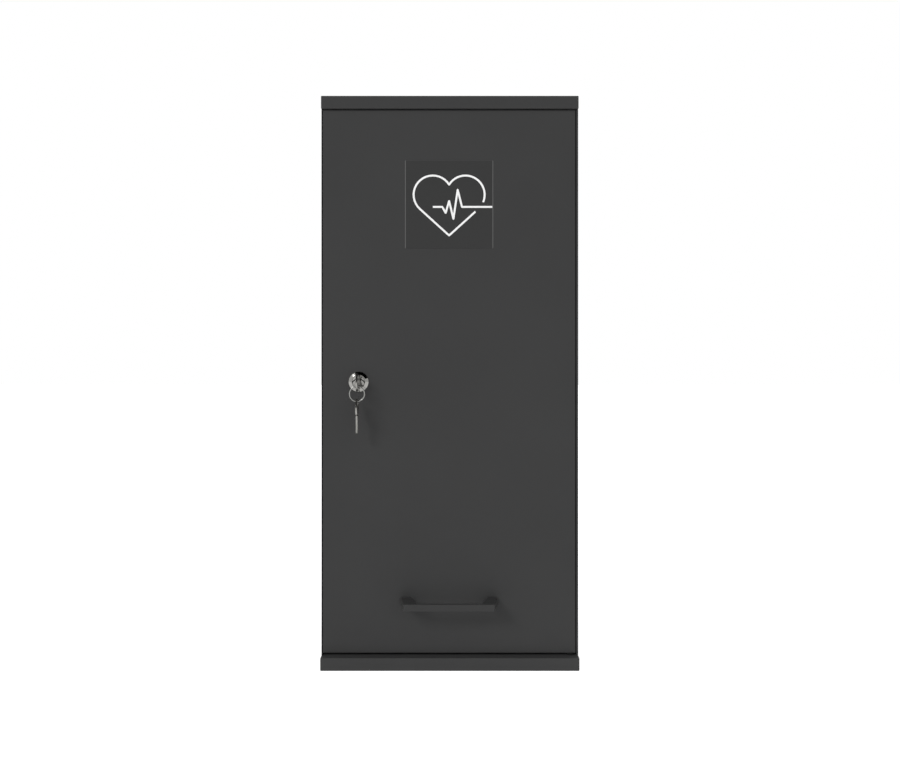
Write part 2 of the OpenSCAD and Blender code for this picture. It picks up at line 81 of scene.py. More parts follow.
def named(name):                       # the piece that was added last, with its name
    piece = bpy.context.object
    piece.name = piece.data.name = name
    return piece


def addBlock(name, low, high, turn=(0, 0, 0)):
    startClean()
    bpy.ops.mesh.primitive_cube_add(size=1, location=(low + high) / 2, scale=high - low, rotation=turn)
    block = named(name)
    settle(block)
    return block


def addRod(name, start, along, length, radius, sides=32):
    startClean()
    bpy.ops.mesh.primitive_cylinder_add(vertices=sides, radius=radius, depth=length,
                                        location=start + along * length / 2,
                                        rotation=along.to_track_quat("Z", "Y").to_euler())
    rod = named(name)
    settle(rod)
    return rod


def editAll(piece, kind="VERT"):       # edit mode with everything selected
    pickObject(piece)
    bpy.ops.object.mode_set(mode="EDIT")
    bpy.ops.mesh.select_mode(type=kind)
    bpy.ops.mesh.select_all(action="SELECT")


def backToObject():
    bpy.ops.object.mode_set(mode="OBJECT")


def editPicked(piece, kind, test):     # edit mode with the faces, edges or corners that pass the test
    editAll(piece, kind)
    bpy.ops.mesh.select_all(action="DESELECT")
    backToObject()
    mesh = piece.data
    if kind == "FACE":
        for face in mesh.polygons:
            face.select = test(face.center, face.normal)
    elif kind == "EDGE":
        for edge in mesh.edges:
            edge.select = test(*[mesh.vertices[end].co for end in edge.vertices])
    else:
        for corner in mesh.vertices:
            corner.select = test(corner.co)
    bpy.ops.object.mode_set(mode="EDIT")


def editEdges(piece, test):            # the edges whose two ends pass the test
    editPicked(piece, "EDGE", lambda one, two: test(one) and test(two))


def removeFaces(piece, test):
    editPicked(piece, "FACE", test)
    bpy.ops.mesh.delete(type="FACE")
    backToObject()


def cutAcross(piece, place, normal):   # new edges where a plane goes through the piece
    editAll(piece, "FACE")
    bpy.ops.mesh.bisect(plane_co=place, plane_no=normal)
    backToObject()


def faceOutward(piece):
    editAll(piece)
    bpy.ops.mesh.normals_make_consistent(inside=False)
    backToObject()


def useModifier(piece, kind, **settings):
    pickObject(piece)
    modifier = piece.modifiers.new(kind.title(), kind)
    for name, value in settings.items():
        setattr(modifier, name, value)
    bpy.ops.object.modifier_apply(modifier=modifier.name)


def cleaned(piece, gap=5e-6):          # slivers that cuts leave are merged away
    editAll(piece)
    bpy.ops.mesh.remove_doubles(threshold=gap)
    bpy.ops.mesh.fill_holes(sides=4)
    bpy.ops.mesh.dissolve_degenerate(threshold=gap)
    bpy.ops.mesh.normals_make_consistent(inside=False)
    backToObject()


def bevelPicked(width, steps):         # the edges that are selected in edit mode
    bpy.ops.mesh.bevel(offset=width, segments=steps, affect="EDGES")
    backToObject()


def thicken(piece):                    # a shell of faces gets the sheet's thickness, inwards
    useModifier(piece, "SOLIDIFY", thickness=sheet, offset=-1, use_even_offset=True)


def roundEdges(piece, width, steps=2, minAngle=28):
    useModifier(piece, "BEVEL", width=width, segments=steps, limit_method="ANGLE",
                angle_limit=math.radians(minAngle), use_clamp_overlap=True)


def smooth(piece, angle):              # flat faces stay flat, the broken edges take the turn of the light
    pickObject(piece)
    bpy.ops.object.shade_smooth_by_angle(angle=math.radians(angle))
    useModifier(piece, "WEIGHTED_NORMAL", keep_sharp=True, weight=60)


def combine(piece, tool, way="DIFFERENCE"):
    useModifier(piece, "BOOLEAN", operation=way, object=tool, solver="EXACT")
    bpy.data.objects.remove(tool, do_unlink=True)


def joined(name, pieces):
    startClean()
    for piece in pieces:
        piece.select_set(True)
    bpy.context.view_layer.objects.active = pieces[0]
    bpy.ops.object.join()
    return named(name)


def twinOf(piece, name):               # a copy with a mesh of its own
    twin = piece.copy()
    twin.data = piece.data.copy()
    twin.name = twin.data.name = name
    bpy.context.collection.objects.link(twin)
    return twin


def movedTwin(piece, name, move):
    twin = twinOf(piece, name)
    twin.location = move
    settle(twin)
    return twin


def mirrored(piece):                   # put on the other side of the cabinet's middle
    editAll(piece)
    bpy.ops.transform.resize(value=(-1, 1, 1), center_override=(0, 0, 0))
    bpy.ops.mesh.normals_make_consistent(inside=False)
    backToObject()
    return piece


def turned(name, rings, centre, along, closed=False, sides=64):
    # lathe work: each ring is [radius, distance along the axis]; a closed one has a bore
    startClean()
    bpy.ops.mesh.primitive_circle_add(vertices=sides, radius=rings[0][0], location=(0, 0, rings[0][1]))
    body = named(name)
    settle(body)
    editAll(body, "EDGE")
    for before, after in zip(rings, rings[1:]):
        bpy.ops.mesh.extrude_edges_move(TRANSFORM_OT_translate={"value": (0, 0, after[1] - before[1])})
        grow = after[0] / before[0]
        bpy.ops.transform.resize(value=(grow, grow, 1), center_override=(0, 0, after[1]))
    bpy.ops.mesh.select_all(action="SELECT")
    if closed:
        bpy.ops.mesh.remove_doubles(threshold=near)
    else:
        bpy.ops.mesh.fill_holes(sides=0)
    bpy.ops.mesh.normals_make_consistent(inside=False)
    backToObject()
    body.rotation_euler = along.to_track_quat("Z", "Y").to_euler()
    body.location = centre
    settle(body)
    return body


def turnedUpright(node, rings, sides, closed=False):    # stands on the foot of the node's box
    foot = middleOf(node)
    foot.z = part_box(node)[0].z
    return turned(node + "Turned", rings, foot, up, closed, sides)


def finished(piece, body, finish, nodes, angle=32):
    cleaned(piece)
    smooth(piece, angle)
    piece.data.materials.clear()
    piece.data.materials.append(finish)
    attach(piece, body)
    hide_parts(*nodes)


print("helpers ready")


# Nodes, and the effects that several finishes share
def addNode(tree, kind, **settings):
    node = tree.nodes.new(kind)
    for name, value in settings.items():
        setattr(node, name, value)
    return node


def feed(tree, socket, value):         # another node's output is linked, a number or a colour is set
    if isinstance(value, bpy.types.NodeSocket):
        tree.links.new(value, socket)
    elif socket.type == "RGBA":
        socket.default_value = (*value, 1)
    else:
        socket.default_value = value


def addMath(tree, operation, *values):
    node = addNode(tree, "ShaderNodeMath", operation=operation)
    for spot, value in enumerate(values):
        feed(tree, node.inputs[spot], value)
    return node.outputs[0]


def addMix(tree, kind, factor, low, high):
    node = addNode(tree, "ShaderNodeMix", data_type=kind)
    for title, value in (("Factor", factor), ("A", low), ("B", high)):
        feed(tree, node.inputs[title], value)
    return node.outputs["Result"]


def addRange(tree, value, fromLow, fromHigh, toLow=0.0, toHigh=1.0):
    node = addNode(tree, "ShaderNodeMapRange", interpolation_type="SMOOTHSTEP")
    for title, number in (("Value", value), ("From Min", fromLow), ("From Max", fromHigh),
                          ("To Min", toLow), ("To Max", toHigh)):
        feed(tree, node.inputs[title], number)
    return node.outputs["Result"]


def addNoise(tree, place, scale, detail, roughness):
    node = addNode(tree, "ShaderNodeTexNoise")
    for title, value in (("Vector", place), ("Scale", scale), ("Detail", detail), ("Roughness", roughness)):
        feed(tree, node.inputs[title], value)
    return node.outputs["Fac"]


def addPlace(tree, kind="Object"):     # where a point lies
    return addNode(tree, "ShaderNodeTexCoord").outputs[kind]


def addSplit(tree, place):             # its distances along X, Y and Z
    node = addNode(tree, "ShaderNodeSeparateXYZ")
    feed(tree, node.inputs[0], place)
    return node.outputs["X"], node.outputs["Y"], node.outputs["Z"]


def addSeen(tree):                     # 1 where the camera, a mirror or glass looks, and for mirrors alone
    rays = addNode(tree, "ShaderNodeLightPath").outputs
    mirror = rays["Is Glossy Ray"]
    seen = addMath(tree, "MAXIMUM", rays["Is Camera Ray"], mirror)
    return addMath(tree, "MAXIMUM", seen, rays["Is Transmission Ray"]), mirror


def layOut(tree):                      # nodes in columns, each to the right of what feeds it
    columns = {node.name: 0 for node in tree.nodes}
    for step in columns:
        for link in tree.links:
            follows = columns[link.from_node.name] + 1
            columns[link.to_node.name] = max(columns[link.to_node.name], follows)
    rows = {}
    for name, column in columns.items():
        rows[column] = rows.get(column, 0) + 1
        tree.nodes[name].location = (220 * column, -300 * rows[column])


def newGroup(name, inputs, outputs):
    group = bpy.data.node_groups.new(name, "ShaderNodeTree")
    for title, start in inputs.items():
        kind = "NodeSocketFloat" if isinstance(start, float) else "NodeSocketVector"
        group.interface.new_socket(name=title, in_out="INPUT", socket_type=kind).default_value = start
    for title in outputs:
        group.interface.new_socket(name=title, in_out="OUTPUT", socket_type="NodeSocketFloat")
    return group, addNode(group, "NodeGroupInput").outputs, addNode(group, "NodeGroupOutput").inputs


def makePowderGrain():                 # the fine bubbly skin of baked powder
    group, given, result = newGroup("powderGrain", {"Grain Size": 0.0005, "Ripple Size": 0.004,
                                                    "Ripple": 0.35}, ["Height"])
    place = addPlace(group)
    fine, broad = (addMath(group, "DIVIDE", 1.0, given[size]) for size in ("Grain Size", "Ripple Size"))
    grain = addNoise(group, place, fine, detail=1.5, roughness=0.45)
    ripple = addNoise(group, place, broad, detail=2.0, roughness=0.4)
    weighed = addMath(group, "MULTIPLY", ripple, given["Ripple"])
    feed(group, result["Height"], addMath(group, "ADD", grain, weighed))
    return group


def makeSoftVariation():               # slow change of tone from place to place
    group, given, result = newGroup("softVariation", {"Patch Size": 0.08, "Low": 0.0, "High": 1.0},
                                    ["Value"])
    scale = addMath(group, "DIVIDE", 1.0, given["Patch Size"])
    cloud = addNoise(group, addPlace(group), scale, detail=3.0, roughness=0.55)
    even = addRange(group, cloud, fromLow=0.3, fromHigh=0.7)
    scaled = addMath(group, "MULTIPLY", even, addMath(group, "SUBTRACT", given["High"], given["Low"]))
    feed(group, result["Value"], addMath(group, "ADD", scaled, given["Low"]))
    return group


def makeDrawnLines():                  # fine parallel lines left by rolling or drawing
    group, given, result = newGroup("drawnLines", {"Line Width": 0.0003, "Stretch": (1, 1, 0.03)},
                                    ["Height", "Tone"])
    stretched = addNode(group, "ShaderNodeVectorMath", operation="MULTIPLY")
    feed(group, stretched.inputs[0], addPlace(group))
    feed(group, stretched.inputs[1], given["Stretch"])
    scale = addMath(group, "DIVIDE", 1.0, given["Line Width"])
    lines = addNoise(group, stretched.outputs[0], scale, detail=3.0, roughness=0.6)
    feed(group, result["Height"], lines)
    feed(group, result["Tone"], addRange(group, lines, fromLow=0.35, fromHigh=0.65))
    return group


def makeFineScratches():               # scattered hairline scratches from handling
    group, given, result = newGroup("fineScratches", {"Spacing": 0.004, "Amount": 0.5}, ["Mask"])
    place = addPlace(group)
    scale = addMath(group, "DIVIDE", 1.0, given["Spacing"])
    layers, sets = [], (((0.4, 0.9, 0.2), (1, 14, 14)), ((1.1, 0.3, 0.8), (12, 1, 12)))
    for turn, stretch in sets:
        mapping = addNode(group, "ShaderNodeMapping")
        for title, value in (("Vector", place), ("Rotation", turn), ("Scale", stretch)):
            feed(group, mapping.inputs[title], value)
        cells = addNoise(group, mapping.outputs["Vector"], scale, detail=4.0, roughness=0.7)
        layers.append(addRange(group, cells, fromLow=0.66, fromHigh=0.7))
    both = addMath(group, "MAXIMUM", *layers)
    feed(group, result["Mask"], addMath(group, "MULTIPLY", both, given["Amount"]))
    return group


powderGrain, softVariation = makePowderGrain(), makeSoftVariation()
drawnLines, fineScratches = makeDrawnLines(), makeFineScratches()


def useGroup(tree, group, **values):   # grainSize sets the input Grain Size, and so on
    node = addNode(tree, "ShaderNodeGroup", node_tree=group)
    for name, value in values.items():
        title = "".join(" " + letter if letter.isupper() else letter for letter in name)
        node.inputs[title[0].upper() + title[1:]].default_value = value
    return node.outputs


def newFinish(name, colour, roughness, metallic=0.0, specular=0.5):
    finish = bpy.data.materials.new(name)
    finish.use_nodes = True
    finish.diffuse_color = (*colour, 1)
    tree = finish.node_tree
    shader = tree.nodes["Principled BSDF"].inputs
    for title, value in (("Base Color", colour), ("Roughness", roughness), ("Metallic", metallic),
                         ("Specular IOR Level", specular)):
        feed(tree, shader[title], value)
    return finish, tree, shader


def addTones(tree, values):            # slow change between a dark and a light tone
    cloud = useGroup(tree, softVariation, patchSize=values["tonePatch"])
    return addMix(tree, "RGBA", cloud["Value"], values["dark"], values["light"])


def varyGloss(tree, shader, values):
    rough = useGroup(tree, softVariation, patchSize=values["glossPatch"], low=values["smoothest"],
                     high=values["dullest"])
    feed(tree, shader["Roughness"], rough["Value"])


def addBump(tree, shader, height, depth):
    node = addNode(tree, "ShaderNodeBump")
    for title, value in (("Strength", 1.0), ("Distance", depth), ("Height", height)):
        feed(tree, node.inputs[title], value)
    feed(tree, shader["Normal"], node.outputs["Normal"])


def addGrain(tree, shader, values):
    grain = useGroup(tree, powderGrain, grainSize=values["grain"])
    addBump(tree, shader, grain["Height"], values["depth"])


def addScratches(tree, shader, values):
    marks = useGroup(tree, fineScratches, spacing=values["spacing"], amount=values["scratches"])
    feed(tree, shader["Roughness"], addMath(tree, "ADD", marks["Mask"], values["roughness"]))
    addBump(tree, shader, marks["Mask"], values["depth"])


# The finishes
anthracite = {"colour": (0.0437, 0.0438, 0.0440), "dark": (0.0424, 0.0425, 0.0427),
              "light": (0.0450, 0.0451, 0.0453), "tonePatch": 0.12, "roughness": 0.56, "smoothest": 0.52,
              "dullest": 0.61, "glossPatch": 0.03, "specular": 0.15, "grain": 0.00055, "depth": 0.00003}


def makePowderCoat(name, lighten=1.0):   # above 1 paints the coat lighter, as painted light
    coat = dict(anthracite)
    for tone in ("colour", "dark", "light"):
        coat[tone] = tuple(part * lighten for part in anthracite[tone])
    finish, tree, shader = newFinish(name, coat["colour"], coat["roughness"], specular=coat["specular"])
    feed(tree, shader["Base Color"], addTones(tree, coat))
    varyGloss(tree, shader, coat)
    addGrain(tree, shader, coat)
    return finish


zinc = {"dark": (0.40, 0.41, 0.42), "light": (0.56, 0.57, 0.57), "tonePatch": 0.012, "roughness": 0.34,
        "smoothest": 0.28, "dullest": 0.44, "glossPatch": 0.006, "lineWidth": 0.0005, "depth": 0.00001}


def makeZincSteel():                   # bright zinc plate on rolled sheet
    finish, tree, shader = newFinish("zincSteel", zinc["light"], zinc["roughness"], 1.0)
    feed(tree, shader["Base Color"], addTones(tree, zinc))
    varyGloss(tree, shader, zinc)
    lines = useGroup(tree, drawnLines, lineWidth=zinc["lineWidth"])
    addBump(tree, shader, lines["Height"], zinc["depth"])
    return finish


wire = {"dark": (0.22, 0.22, 0.21), "light": (0.30, 0.30, 0.29), "roughness": 0.24, "smoothest": 0.18,
        "dullest": 0.32, "glossPatch": 0.004, "lineWidth": 0.0002, "depth": 0.000004}


def makeDrawnSteel():                  # hinge pins and the ring's spring wire
    finish, tree, shader = newFinish("drawnSteel", wire["light"], wire["roughness"], 1.0)
    lines = useGroup(tree, drawnLines, lineWidth=wire["lineWidth"])
    feed(tree, shader["Base Color"], addMix(tree, "RGBA", lines["Tone"], wire["dark"], wire["light"]))
    varyGloss(tree, shader, wire)
    addBump(tree, shader, lines["Height"], wire["depth"])
    return finish


plate = {"dark": (0.258, 0.255, 0.243), "light": (0.288, 0.284, 0.271), "tonePatch": 0.005,
         "roughness": 0.10, "scratches": 0.05, "spacing": 0.003, "depth": 0.000003}
# Painted shade for the keyway and the engraving: within a radius of the plug's middle, between distances
# behind its face
recessShade = {"colour": (0.010, 0.010, 0.010), "within": 0.0084, "starts": 0.0002, "full": 0.0005,
          "fades": 0.006, "ends": 0.010}


def makeLockChrome():                  # satin-bright plating of the lock
    finish, tree, shader = newFinish("lockChrome", plate["light"], plate["roughness"], 1.0)
    # painted shade darkens the keyway and the engraved line just below the face
    middle, face = middleOf("lock_plug"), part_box("lock_plug")[0].y
    x, y, z = addSplit(tree, addPlace(tree))
    aside, above = addMath(tree, "SUBTRACT", x, middle.x), addMath(tree, "SUBTRACT", z, middle.z)
    squares = [addMath(tree, "MULTIPLY", way, way) for way in (aside, above)]
    reach = addMath(tree, "SQRT", addMath(tree, "ADD", *squares))
    inside = addMath(tree, "LESS_THAN", reach, recessShade["within"])
    below = addRange(tree, y, face + recessShade["starts"], face + recessShade["full"])
    shallow = addRange(tree, y, face + recessShade["ends"], face + recessShade["fades"])
    shadeMask = addMath(tree, "MULTIPLY", inside, addMath(tree, "MULTIPLY", below, shallow))
    # the recesses behind the face take the painted shade colour
    feed(tree, shader["Base Color"], addMix(tree, "RGBA", shadeMask, addTones(tree, plate), recessShade["colour"]))
    addScratches(tree, shader, plate)
    return finish


nickel = {"dark": (0.22, 0.216, 0.203), "light": (0.29, 0.286, 0.271), "tonePatch": 0.006,
          "roughness": 0.28, "scratches": 0.16, "spacing": 0.0025, "depth": 0.000006}


def makeKeyNickel():                   # nickel-plated brass, scratched in the pocket
    finish, tree, shader = newFinish("keyNickel", nickel["light"], nickel["roughness"], 1.0)
    feed(tree, shader["Base Color"], addTones(tree, nickel))
    addScratches(tree, shader, nickel)
    return finish


rubber = {"colour": (0.018, 0.018, 0.02), "dark": (0.014, 0.014, 0.015), "light": (0.026, 0.026, 0.028),
          "tonePatch": 0.004, "roughness": 0.82, "specular": 0.3, "grain": 0.0003, "depth": 0.00003}
nylon = {"colour": (0.010, 0.010, 0.010), "dark": (0.008, 0.008, 0.008), "light": (0.012, 0.012, 0.012),
         "tonePatch": 0.003, "roughness": 0.6, "specular": 0.15, "grain": 0.0004, "depth": 0.00001}
whiteInk = {"colour": (0.93, 0.93, 0.93), "dark": (0.91, 0.91, 0.91), "light": (0.95, 0.95, 0.95),
            "tonePatch": 0.01, "roughness": 0.5, "specular": 0.3, "grain": 0.0006, "depth": 0.000008}


def makeMatt(name, values):            # rubber, nylon and printing ink, each with its grain
    finish, tree, shader = newFinish(name, values["colour"], values["roughness"],
                                     specular=values["specular"])
    feed(tree, shader["Base Color"], addTones(tree, values))
    addGrain(tree, shader, values)
    return finish


signLow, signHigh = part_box("sign_film")
# the film's edge colour is a painted highlight along its cut edges
film = {"ground": (0.0388, 0.0388, 0.0388), "edge": (0.118, 0.118, 0.118), "highlightWidth": 0.0009,
        "topEdge": 0.12, "fade": 0.1, "roughness": 0.46, "smoothest": 0.42, "dullest": 0.51,
        "glossPatch": 0.02, "specular": 0.14, "grain": 0.0009, "depth": 0.00001}


def makeSignFilm():                    # satin film with a painted highlight along its cut edges at the sides, fainter along the top
    finish, tree, shader = newFinish("signFilm", film["ground"], film["roughness"],
                                     specular=film["specular"])
    x, y, z = addSplit(tree, addPlace(tree))
    fromMiddle = addMath(tree, "ABSOLUTE", addMath(tree, "SUBTRACT", x, (signLow.x + signHigh.x) / 2))
    starts, full = film["highlightWidth"] * (1 + film["fade"]), film["highlightWidth"] * (1 - film["fade"])
    half = (signHigh.x - signLow.x) / 2
    sides = addRange(tree, fromMiddle, half - starts, half - full)
    top = addRange(tree, z, signHigh.z - starts, signHigh.z - full, 0.0, film["topEdge"])
    # the sides and the top blend into the painted highlight colour
    edges = addMath(tree, "MAXIMUM", sides, top)
    feed(tree, shader["Base Color"], addMix(tree, "RGBA", edges, film["ground"], film["edge"]))
    varyGloss(tree, shader, film)
    addGrain(tree, shader, film)
    return finish


carcassPaint, doorPaint = makePowderCoat("carcassPaint"), makePowderCoat("doorPaint")
# the base's coat is painted a tenth lighter, painted light that makes up for the shade it gets near the
# floor
basePaintLightened = makePowderCoat("basePaintLightened", 1.10)
zincSteel, drawnSteel = makeZincSteel(), makeDrawnSteel()
lockChrome, keyNickel = makeLockChrome(), makeKeyNickel()
bumperRubber, bushNylon = makeMatt("bumperRubber", rubber), makeMatt("bushNylon", nylon)
signFilm, signPrint = makeSignFilm(), makeMatt("signPrint", whiteInk)
for finish in (carcassPaint, doorPaint, basePaintLightened, zincSteel, drawnSteel, lockChrome, keyNickel,
               bumperRubber, bushNylon, signFilm, signPrint):
    layOut(finish.node_tree)
for group in (powderGrain, softVariation, drawnLines, fineScratches):
    layOut(group)
print("finishes ready")


# Folded pans: the top cover, the base and the door
def cornerSlits(low, high, opening, values):
    # the narrow mitres where two turned-in flanges meet
    along, aside = (2, 1) if opening.z else (1, 2)     # the axis the pan opens along, the flanges' other one
    flange, width = values["flange"], values["slit"]
    reach = flange * values["slitReach"]
    size = Vector(((reach + width) * math.sqrt(2), width, width))
    size[along] = 3 * sheet
    slits = []
    for sideways in (-1, 1):
        for other in (-1, 1):
            inner, outward, turn = Vector((0, 0, 0)), Vector((sideways, 0, 0)), [0, 0, 0]
            inner.x = high.x - flange if sideways > 0 else low.x + flange
            inner[aside] = high[aside] - flange if other > 0 else low[aside] + flange
            inner[along] = high[along] if opening[along] > 0 else low[along]
            outward[aside] = other
            turn[along] = math.atan2(other, sideways) * (1 if opening.z else -1)
            middle = inner + outward * (reach - width) / 2
            slits.append(addBlock("slit", middle - size / 2, middle + size / 2, turn))
    return joined("slits", slits)


def foldedPan(name, low, high, opening, values):
    pan = addBlock(name, low, high)
    editPicked(pan, "FACE", lambda centre, normal: normal.dot(opening) > facing)
    bpy.ops.mesh.inset(thickness=values["flange"], depth=0)
    bpy.ops.mesh.delete(type="FACE")
    backToObject()
    editEdges(pan, lambda end: all(same(end[k], low[k]) or same(end[k], high[k]) for k in range(3)))
    bevelPicked(values["fold"], values["foldSteps"])
    thicken(pan)
    combine(pan, cornerSlits(low, high, opening, values))
    return pan


trayValues = {"flange": 0.020, "fold": 0.0009, "foldSteps": 3, "slit": 0.0005, "slitReach": 0.82,
              "bushShoulder": 0.001}


def makeTray(node, name, finish):
    low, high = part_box(node)
    tray = foldedPan(name, low, high, -up, trayValues)
    hole, through = middleOf("top_hinge_pin"), 6 * sheet
    hole.z = (high.z if node == "base_tray" else low.z) - through / 2
    radius = radiusOf("bottom_hinge_bush") - trayValues["bushShoulder"]
    combine(tray, addRod("bushHole", hole, up, through, radius))
    finished(tray, "cabinet", finish, [node])


makeTray("top_cover", "topCover", carcassPaint)
makeTray("base_tray", "baseTray", basePaintLightened)
print("top cover and base folded")

doorValues = {"flange": 0.014, "fold": 0.0010, "foldSteps": 3, "slit": 0.0004, "slitReach": 0.82,
              "lockHole": 0.0095, "screwHole": 0.00205}
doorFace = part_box("door_skin")[0].y


def screwPlaces():                     # the tips of the handle's two screws
    low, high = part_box("handle_screws")
    head = (high.z - low.z) / 2
    return [Vector((x, low.y, low.z + head)) for x in (low.x + head, high.x - head)]


def makeDoor():
    low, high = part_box("door_skin")
    high = Vector((high.x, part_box("door_side_returns")[1].y, high.z))
    door = foldedPan("doorPan", low, high, back, doorValues)
    hinge, through = middleOf("top_hinge_pin"), 4 * sheet
    for end in (low.z, high.z):
        hinge.z = end - through / 2
        combine(door, addRod("pinHole", hinge, up, through, radiusOf("top_hinge_pin")))
    lock = middleOf("lock_nut")
    lock.y = low.y - through / 2
    combine(door, addRod("lockHole", lock, back, through, doorValues["lockHole"], 64))
    for place in screwPlaces():
        place.y = low.y - through / 2
        combine(door, addRod("screwHole", place, back, through, doorValues["screwHole"]))
    finished(door, "door", doorPaint, ["door_skin", "door_side_returns", "door_end_returns"])


makeDoor()
print("door folded")

# The carcass: side panels, the stiles behind the door, and the shelves
sideValues = {"lip": 0.0013, "edge": 0.0002}


def makeSidePanel(name, lipped):       # as at the right, its rear flange turned in at the back panel
    low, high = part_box("right_side_panel")
    panel = addBlock(name, Vector((high.x - sheet, low.y, low.z)), high)
    folds = [(wallLow.y - sheet, wallLow.y, high.x - sheet - low.x)]
    if lipped:
        folds.append((low.y, low.y + sheet, sideValues["lip"]))
    for start, end, reach in folds:
        cutAcross(panel, (0, start, 0), back)
        cutAcross(panel, (0, end, 0), back)
        editPicked(panel, "FACE", lambda centre, normal: normal.x < -facing and start < centre.y < end)
        bpy.ops.mesh.extrude_region_move(TRANSFORM_OT_translate={"value": (-reach, 0, 0)})
        backToObject()
    roundEdges(panel, sideValues["edge"])
    return panel


rightSide, leftSide = makeSidePanel("rightSidePanel", True), makeSidePanel("leftSidePanel", False)
finished(rightSide, "cabinet", carcassPaint, ["right_side_panel"])
finished(mirrored(leftSide), "cabinet", carcassPaint, ["left_side_panel"])

stileValues = {"fold": 0.0009, "foldSteps": 3}


def makeStile(node, side):             # an angle: its face behind the door, its leg along the side panel
    low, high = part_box(node)
    high = Vector((high.x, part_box("stile_legs")[1].y, high.z))
    stile = addBlock("stile", low, high)
    outer = high.x if side > 0 else low.x
    removeFaces(stile, lambda centre, normal: normal.x * side < facing and normal.y > -facing)
    editEdges(stile, lambda end: same(end.x, outer) and same(end.y, low.y))
    bevelPicked(stileValues["fold"], stileValues["foldSteps"])
    thicken(stile)
    return stile


stiles = joined("stiles", [makeStile("lock_stile", -1), makeStile("hinge_stile", 1)])
finished(stiles, "cabinet", carcassPaint, ["lock_stile", "hinge_stile", "stile_legs"])

shelfValues = {"fold": 0.0010, "foldSteps": 3, "hem": 0.005}


def makeShelf(node, name):             # lips turned down and hemmed inwards
    low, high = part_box(node)
    shelf = addBlock(name, low, high)
    removeFaces(shelf, lambda centre, normal: abs(normal.x) > facing or normal.z < -facing)
    for lip, inward in ((low.y, 1), (high.y, -1)):
        editEdges(shelf, lambda end: same(end.y, lip) and same(end.z, low.z))
        hem = (0, inward * shelfValues["hem"], 0)
        bpy.ops.mesh.extrude_edges_move(TRANSFORM_OT_translate={"value": hem})
        backToObject()
    editPicked(shelf, "EDGE", lambda one, two: not same(one.x, two.x)
               and all(same(end.y, low.y) or same(end.y, high.y) for end in (one, two)))
    bevelPicked(shelfValues["fold"], shelfValues["foldSteps"])
    faceOutward(shelf)
    thicken(shelf)
    finished(shelf, node, carcassPaint, [node])


for level in ("lower", "middle", "upper"):
    makeShelf(level + "_shelf", level + "ShelfSheet")
print("carcass and shelves folded")

bumperValues = {"dome": 0.0006, "domeIn": 0.4, "domeDown": 0.3, "flat": 0.3, "sides": 40}


def makeBumpers():                     # two rubber buttons, their domes towards the door
    low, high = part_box("door_bumpers")
    radius, dome, thick = radiusOf("door_bumpers"), bumperValues["dome"], high.y - low.y
    rings = [[radius, 0], [radius, thick - dome],
             [radius - dome * bumperValues["domeIn"], thick - dome * bumperValues["domeDown"]],
             [radius - dome, thick], [radius * bumperValues["flat"], thick]]
    seat = Vector(((low.x + high.x) / 2, high.y, low.z + radius))
    first = turned("bumper", rings, seat, -back, sides=bumperValues["sides"])
    second = movedTwin(first, "bumperHigh", up * (high.z - low.z - 2 * radius))
    finished(joined("bumpers", [first, second]), "cabinet", bumperRubber, ["door_bumpers"])


makeBumpers()

bushValues = {"chamfer": 0.0004, "flange": 0.0006, "lowerFlange": 0.0025, "clearance": 0.00005, "sides": 48}


def makeBushes():
    chamfer = bushValues["chamfer"]
    for node in ("top_hinge_bush", "bottom_hinge_bush"):
        low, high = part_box(node)
        outer, bore = radiusOf(node), radiusOf(node.replace("bush", "pin")) + bushValues["clearance"]
        barrel, length = outer - trayValues["bushShoulder"], high.z - low.z
        rings = [[bore, 0], [barrel - chamfer, 0], [barrel, chamfer]]
        if node == "top_hinge_bush":   # the barrel reaches down to the gap, its flange lies in the cover
            starts, ends = 2 * sheet, 2 * sheet + bushValues["flange"]
            rings += [[barrel, starts], [outer - chamfer / 2, starts], [outer, starts + chamfer / 2],
                      [outer, ends], [barrel, ends], [barrel, length - chamfer], [barrel - chamfer, length],
                      [bore, length]]
        else:                          # the flange lies on the base, and the gap is above it
            starts = length - bushValues["lowerFlange"]
            rings += [[barrel, starts], [outer, starts], [outer, length - chamfer],
                      [outer - chamfer, length], [bore + chamfer / 2, length], [bore, length - chamfer / 2]]
        bush = turnedUpright(node, rings + [rings[0]], bushValues["sides"], closed=True)
        finished(bush, "cabinet", bushNylon, [node])


makeBushes()

pinValues = {"chamfer": 0.0006, "sides": 40}


def makePins():
    chamfer = pinValues["chamfer"]
    for node in ("top_hinge_pin", "bottom_hinge_pin"):
        low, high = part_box(node)
        radius, length = radiusOf(node), high.z - low.z
        rings = [[radius - chamfer, 0], [radius, chamfer], [radius, length - chamfer],
                 [radius - chamfer, length]]
        pin = turnedUpright(node, rings, pinValues["sides"])
        finished(pin, "door", drawnSteel, [node])


makePins()

stiffenerValues = {"fold": 0.0009, "foldSteps": 3, "foot": 0.008}


def makeStiffener():                   # a hat channel, its feet on the door's sheet
    low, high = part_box("door_stiffener")
    foot = stiffenerValues["foot"]
    seat = low.y + sheet               # the rear face of the feet
    walls = ((low.x + foot, -foot), (high.x - foot, foot))
    channel = addBlock("doorChannel", Vector((low.x + foot, seat, low.z)),
                       Vector((high.x - foot, high.y, high.z)))
    removeFaces(channel, lambda centre, normal: normal.y < -facing or abs(normal.z) > facing)
    for wall, outwards in walls:
        editEdges(channel, lambda end: same(end.x, wall) and same(end.y, seat))
        bpy.ops.mesh.extrude_edges_move(TRANSFORM_OT_translate={"value": (outwards, 0, 0)})
        backToObject()
    faceOutward(channel)
    if max(channel.data.polygons, key=lambda face: face.center.y).normal.y < 0:
        channel.data.flip_normals()
    editPicked(channel, "EDGE", lambda one, two: not same(one.z, two.z)
               and any(same(one.x, wall[0]) and same(two.x, wall[0]) for wall in walls))
    bevelPicked(stiffenerValues["fold"], stiffenerValues["foldSteps"])
    thicken(channel)
    finished(channel, "door", zincSteel, ["door_stiffener"])


makeStiffener()


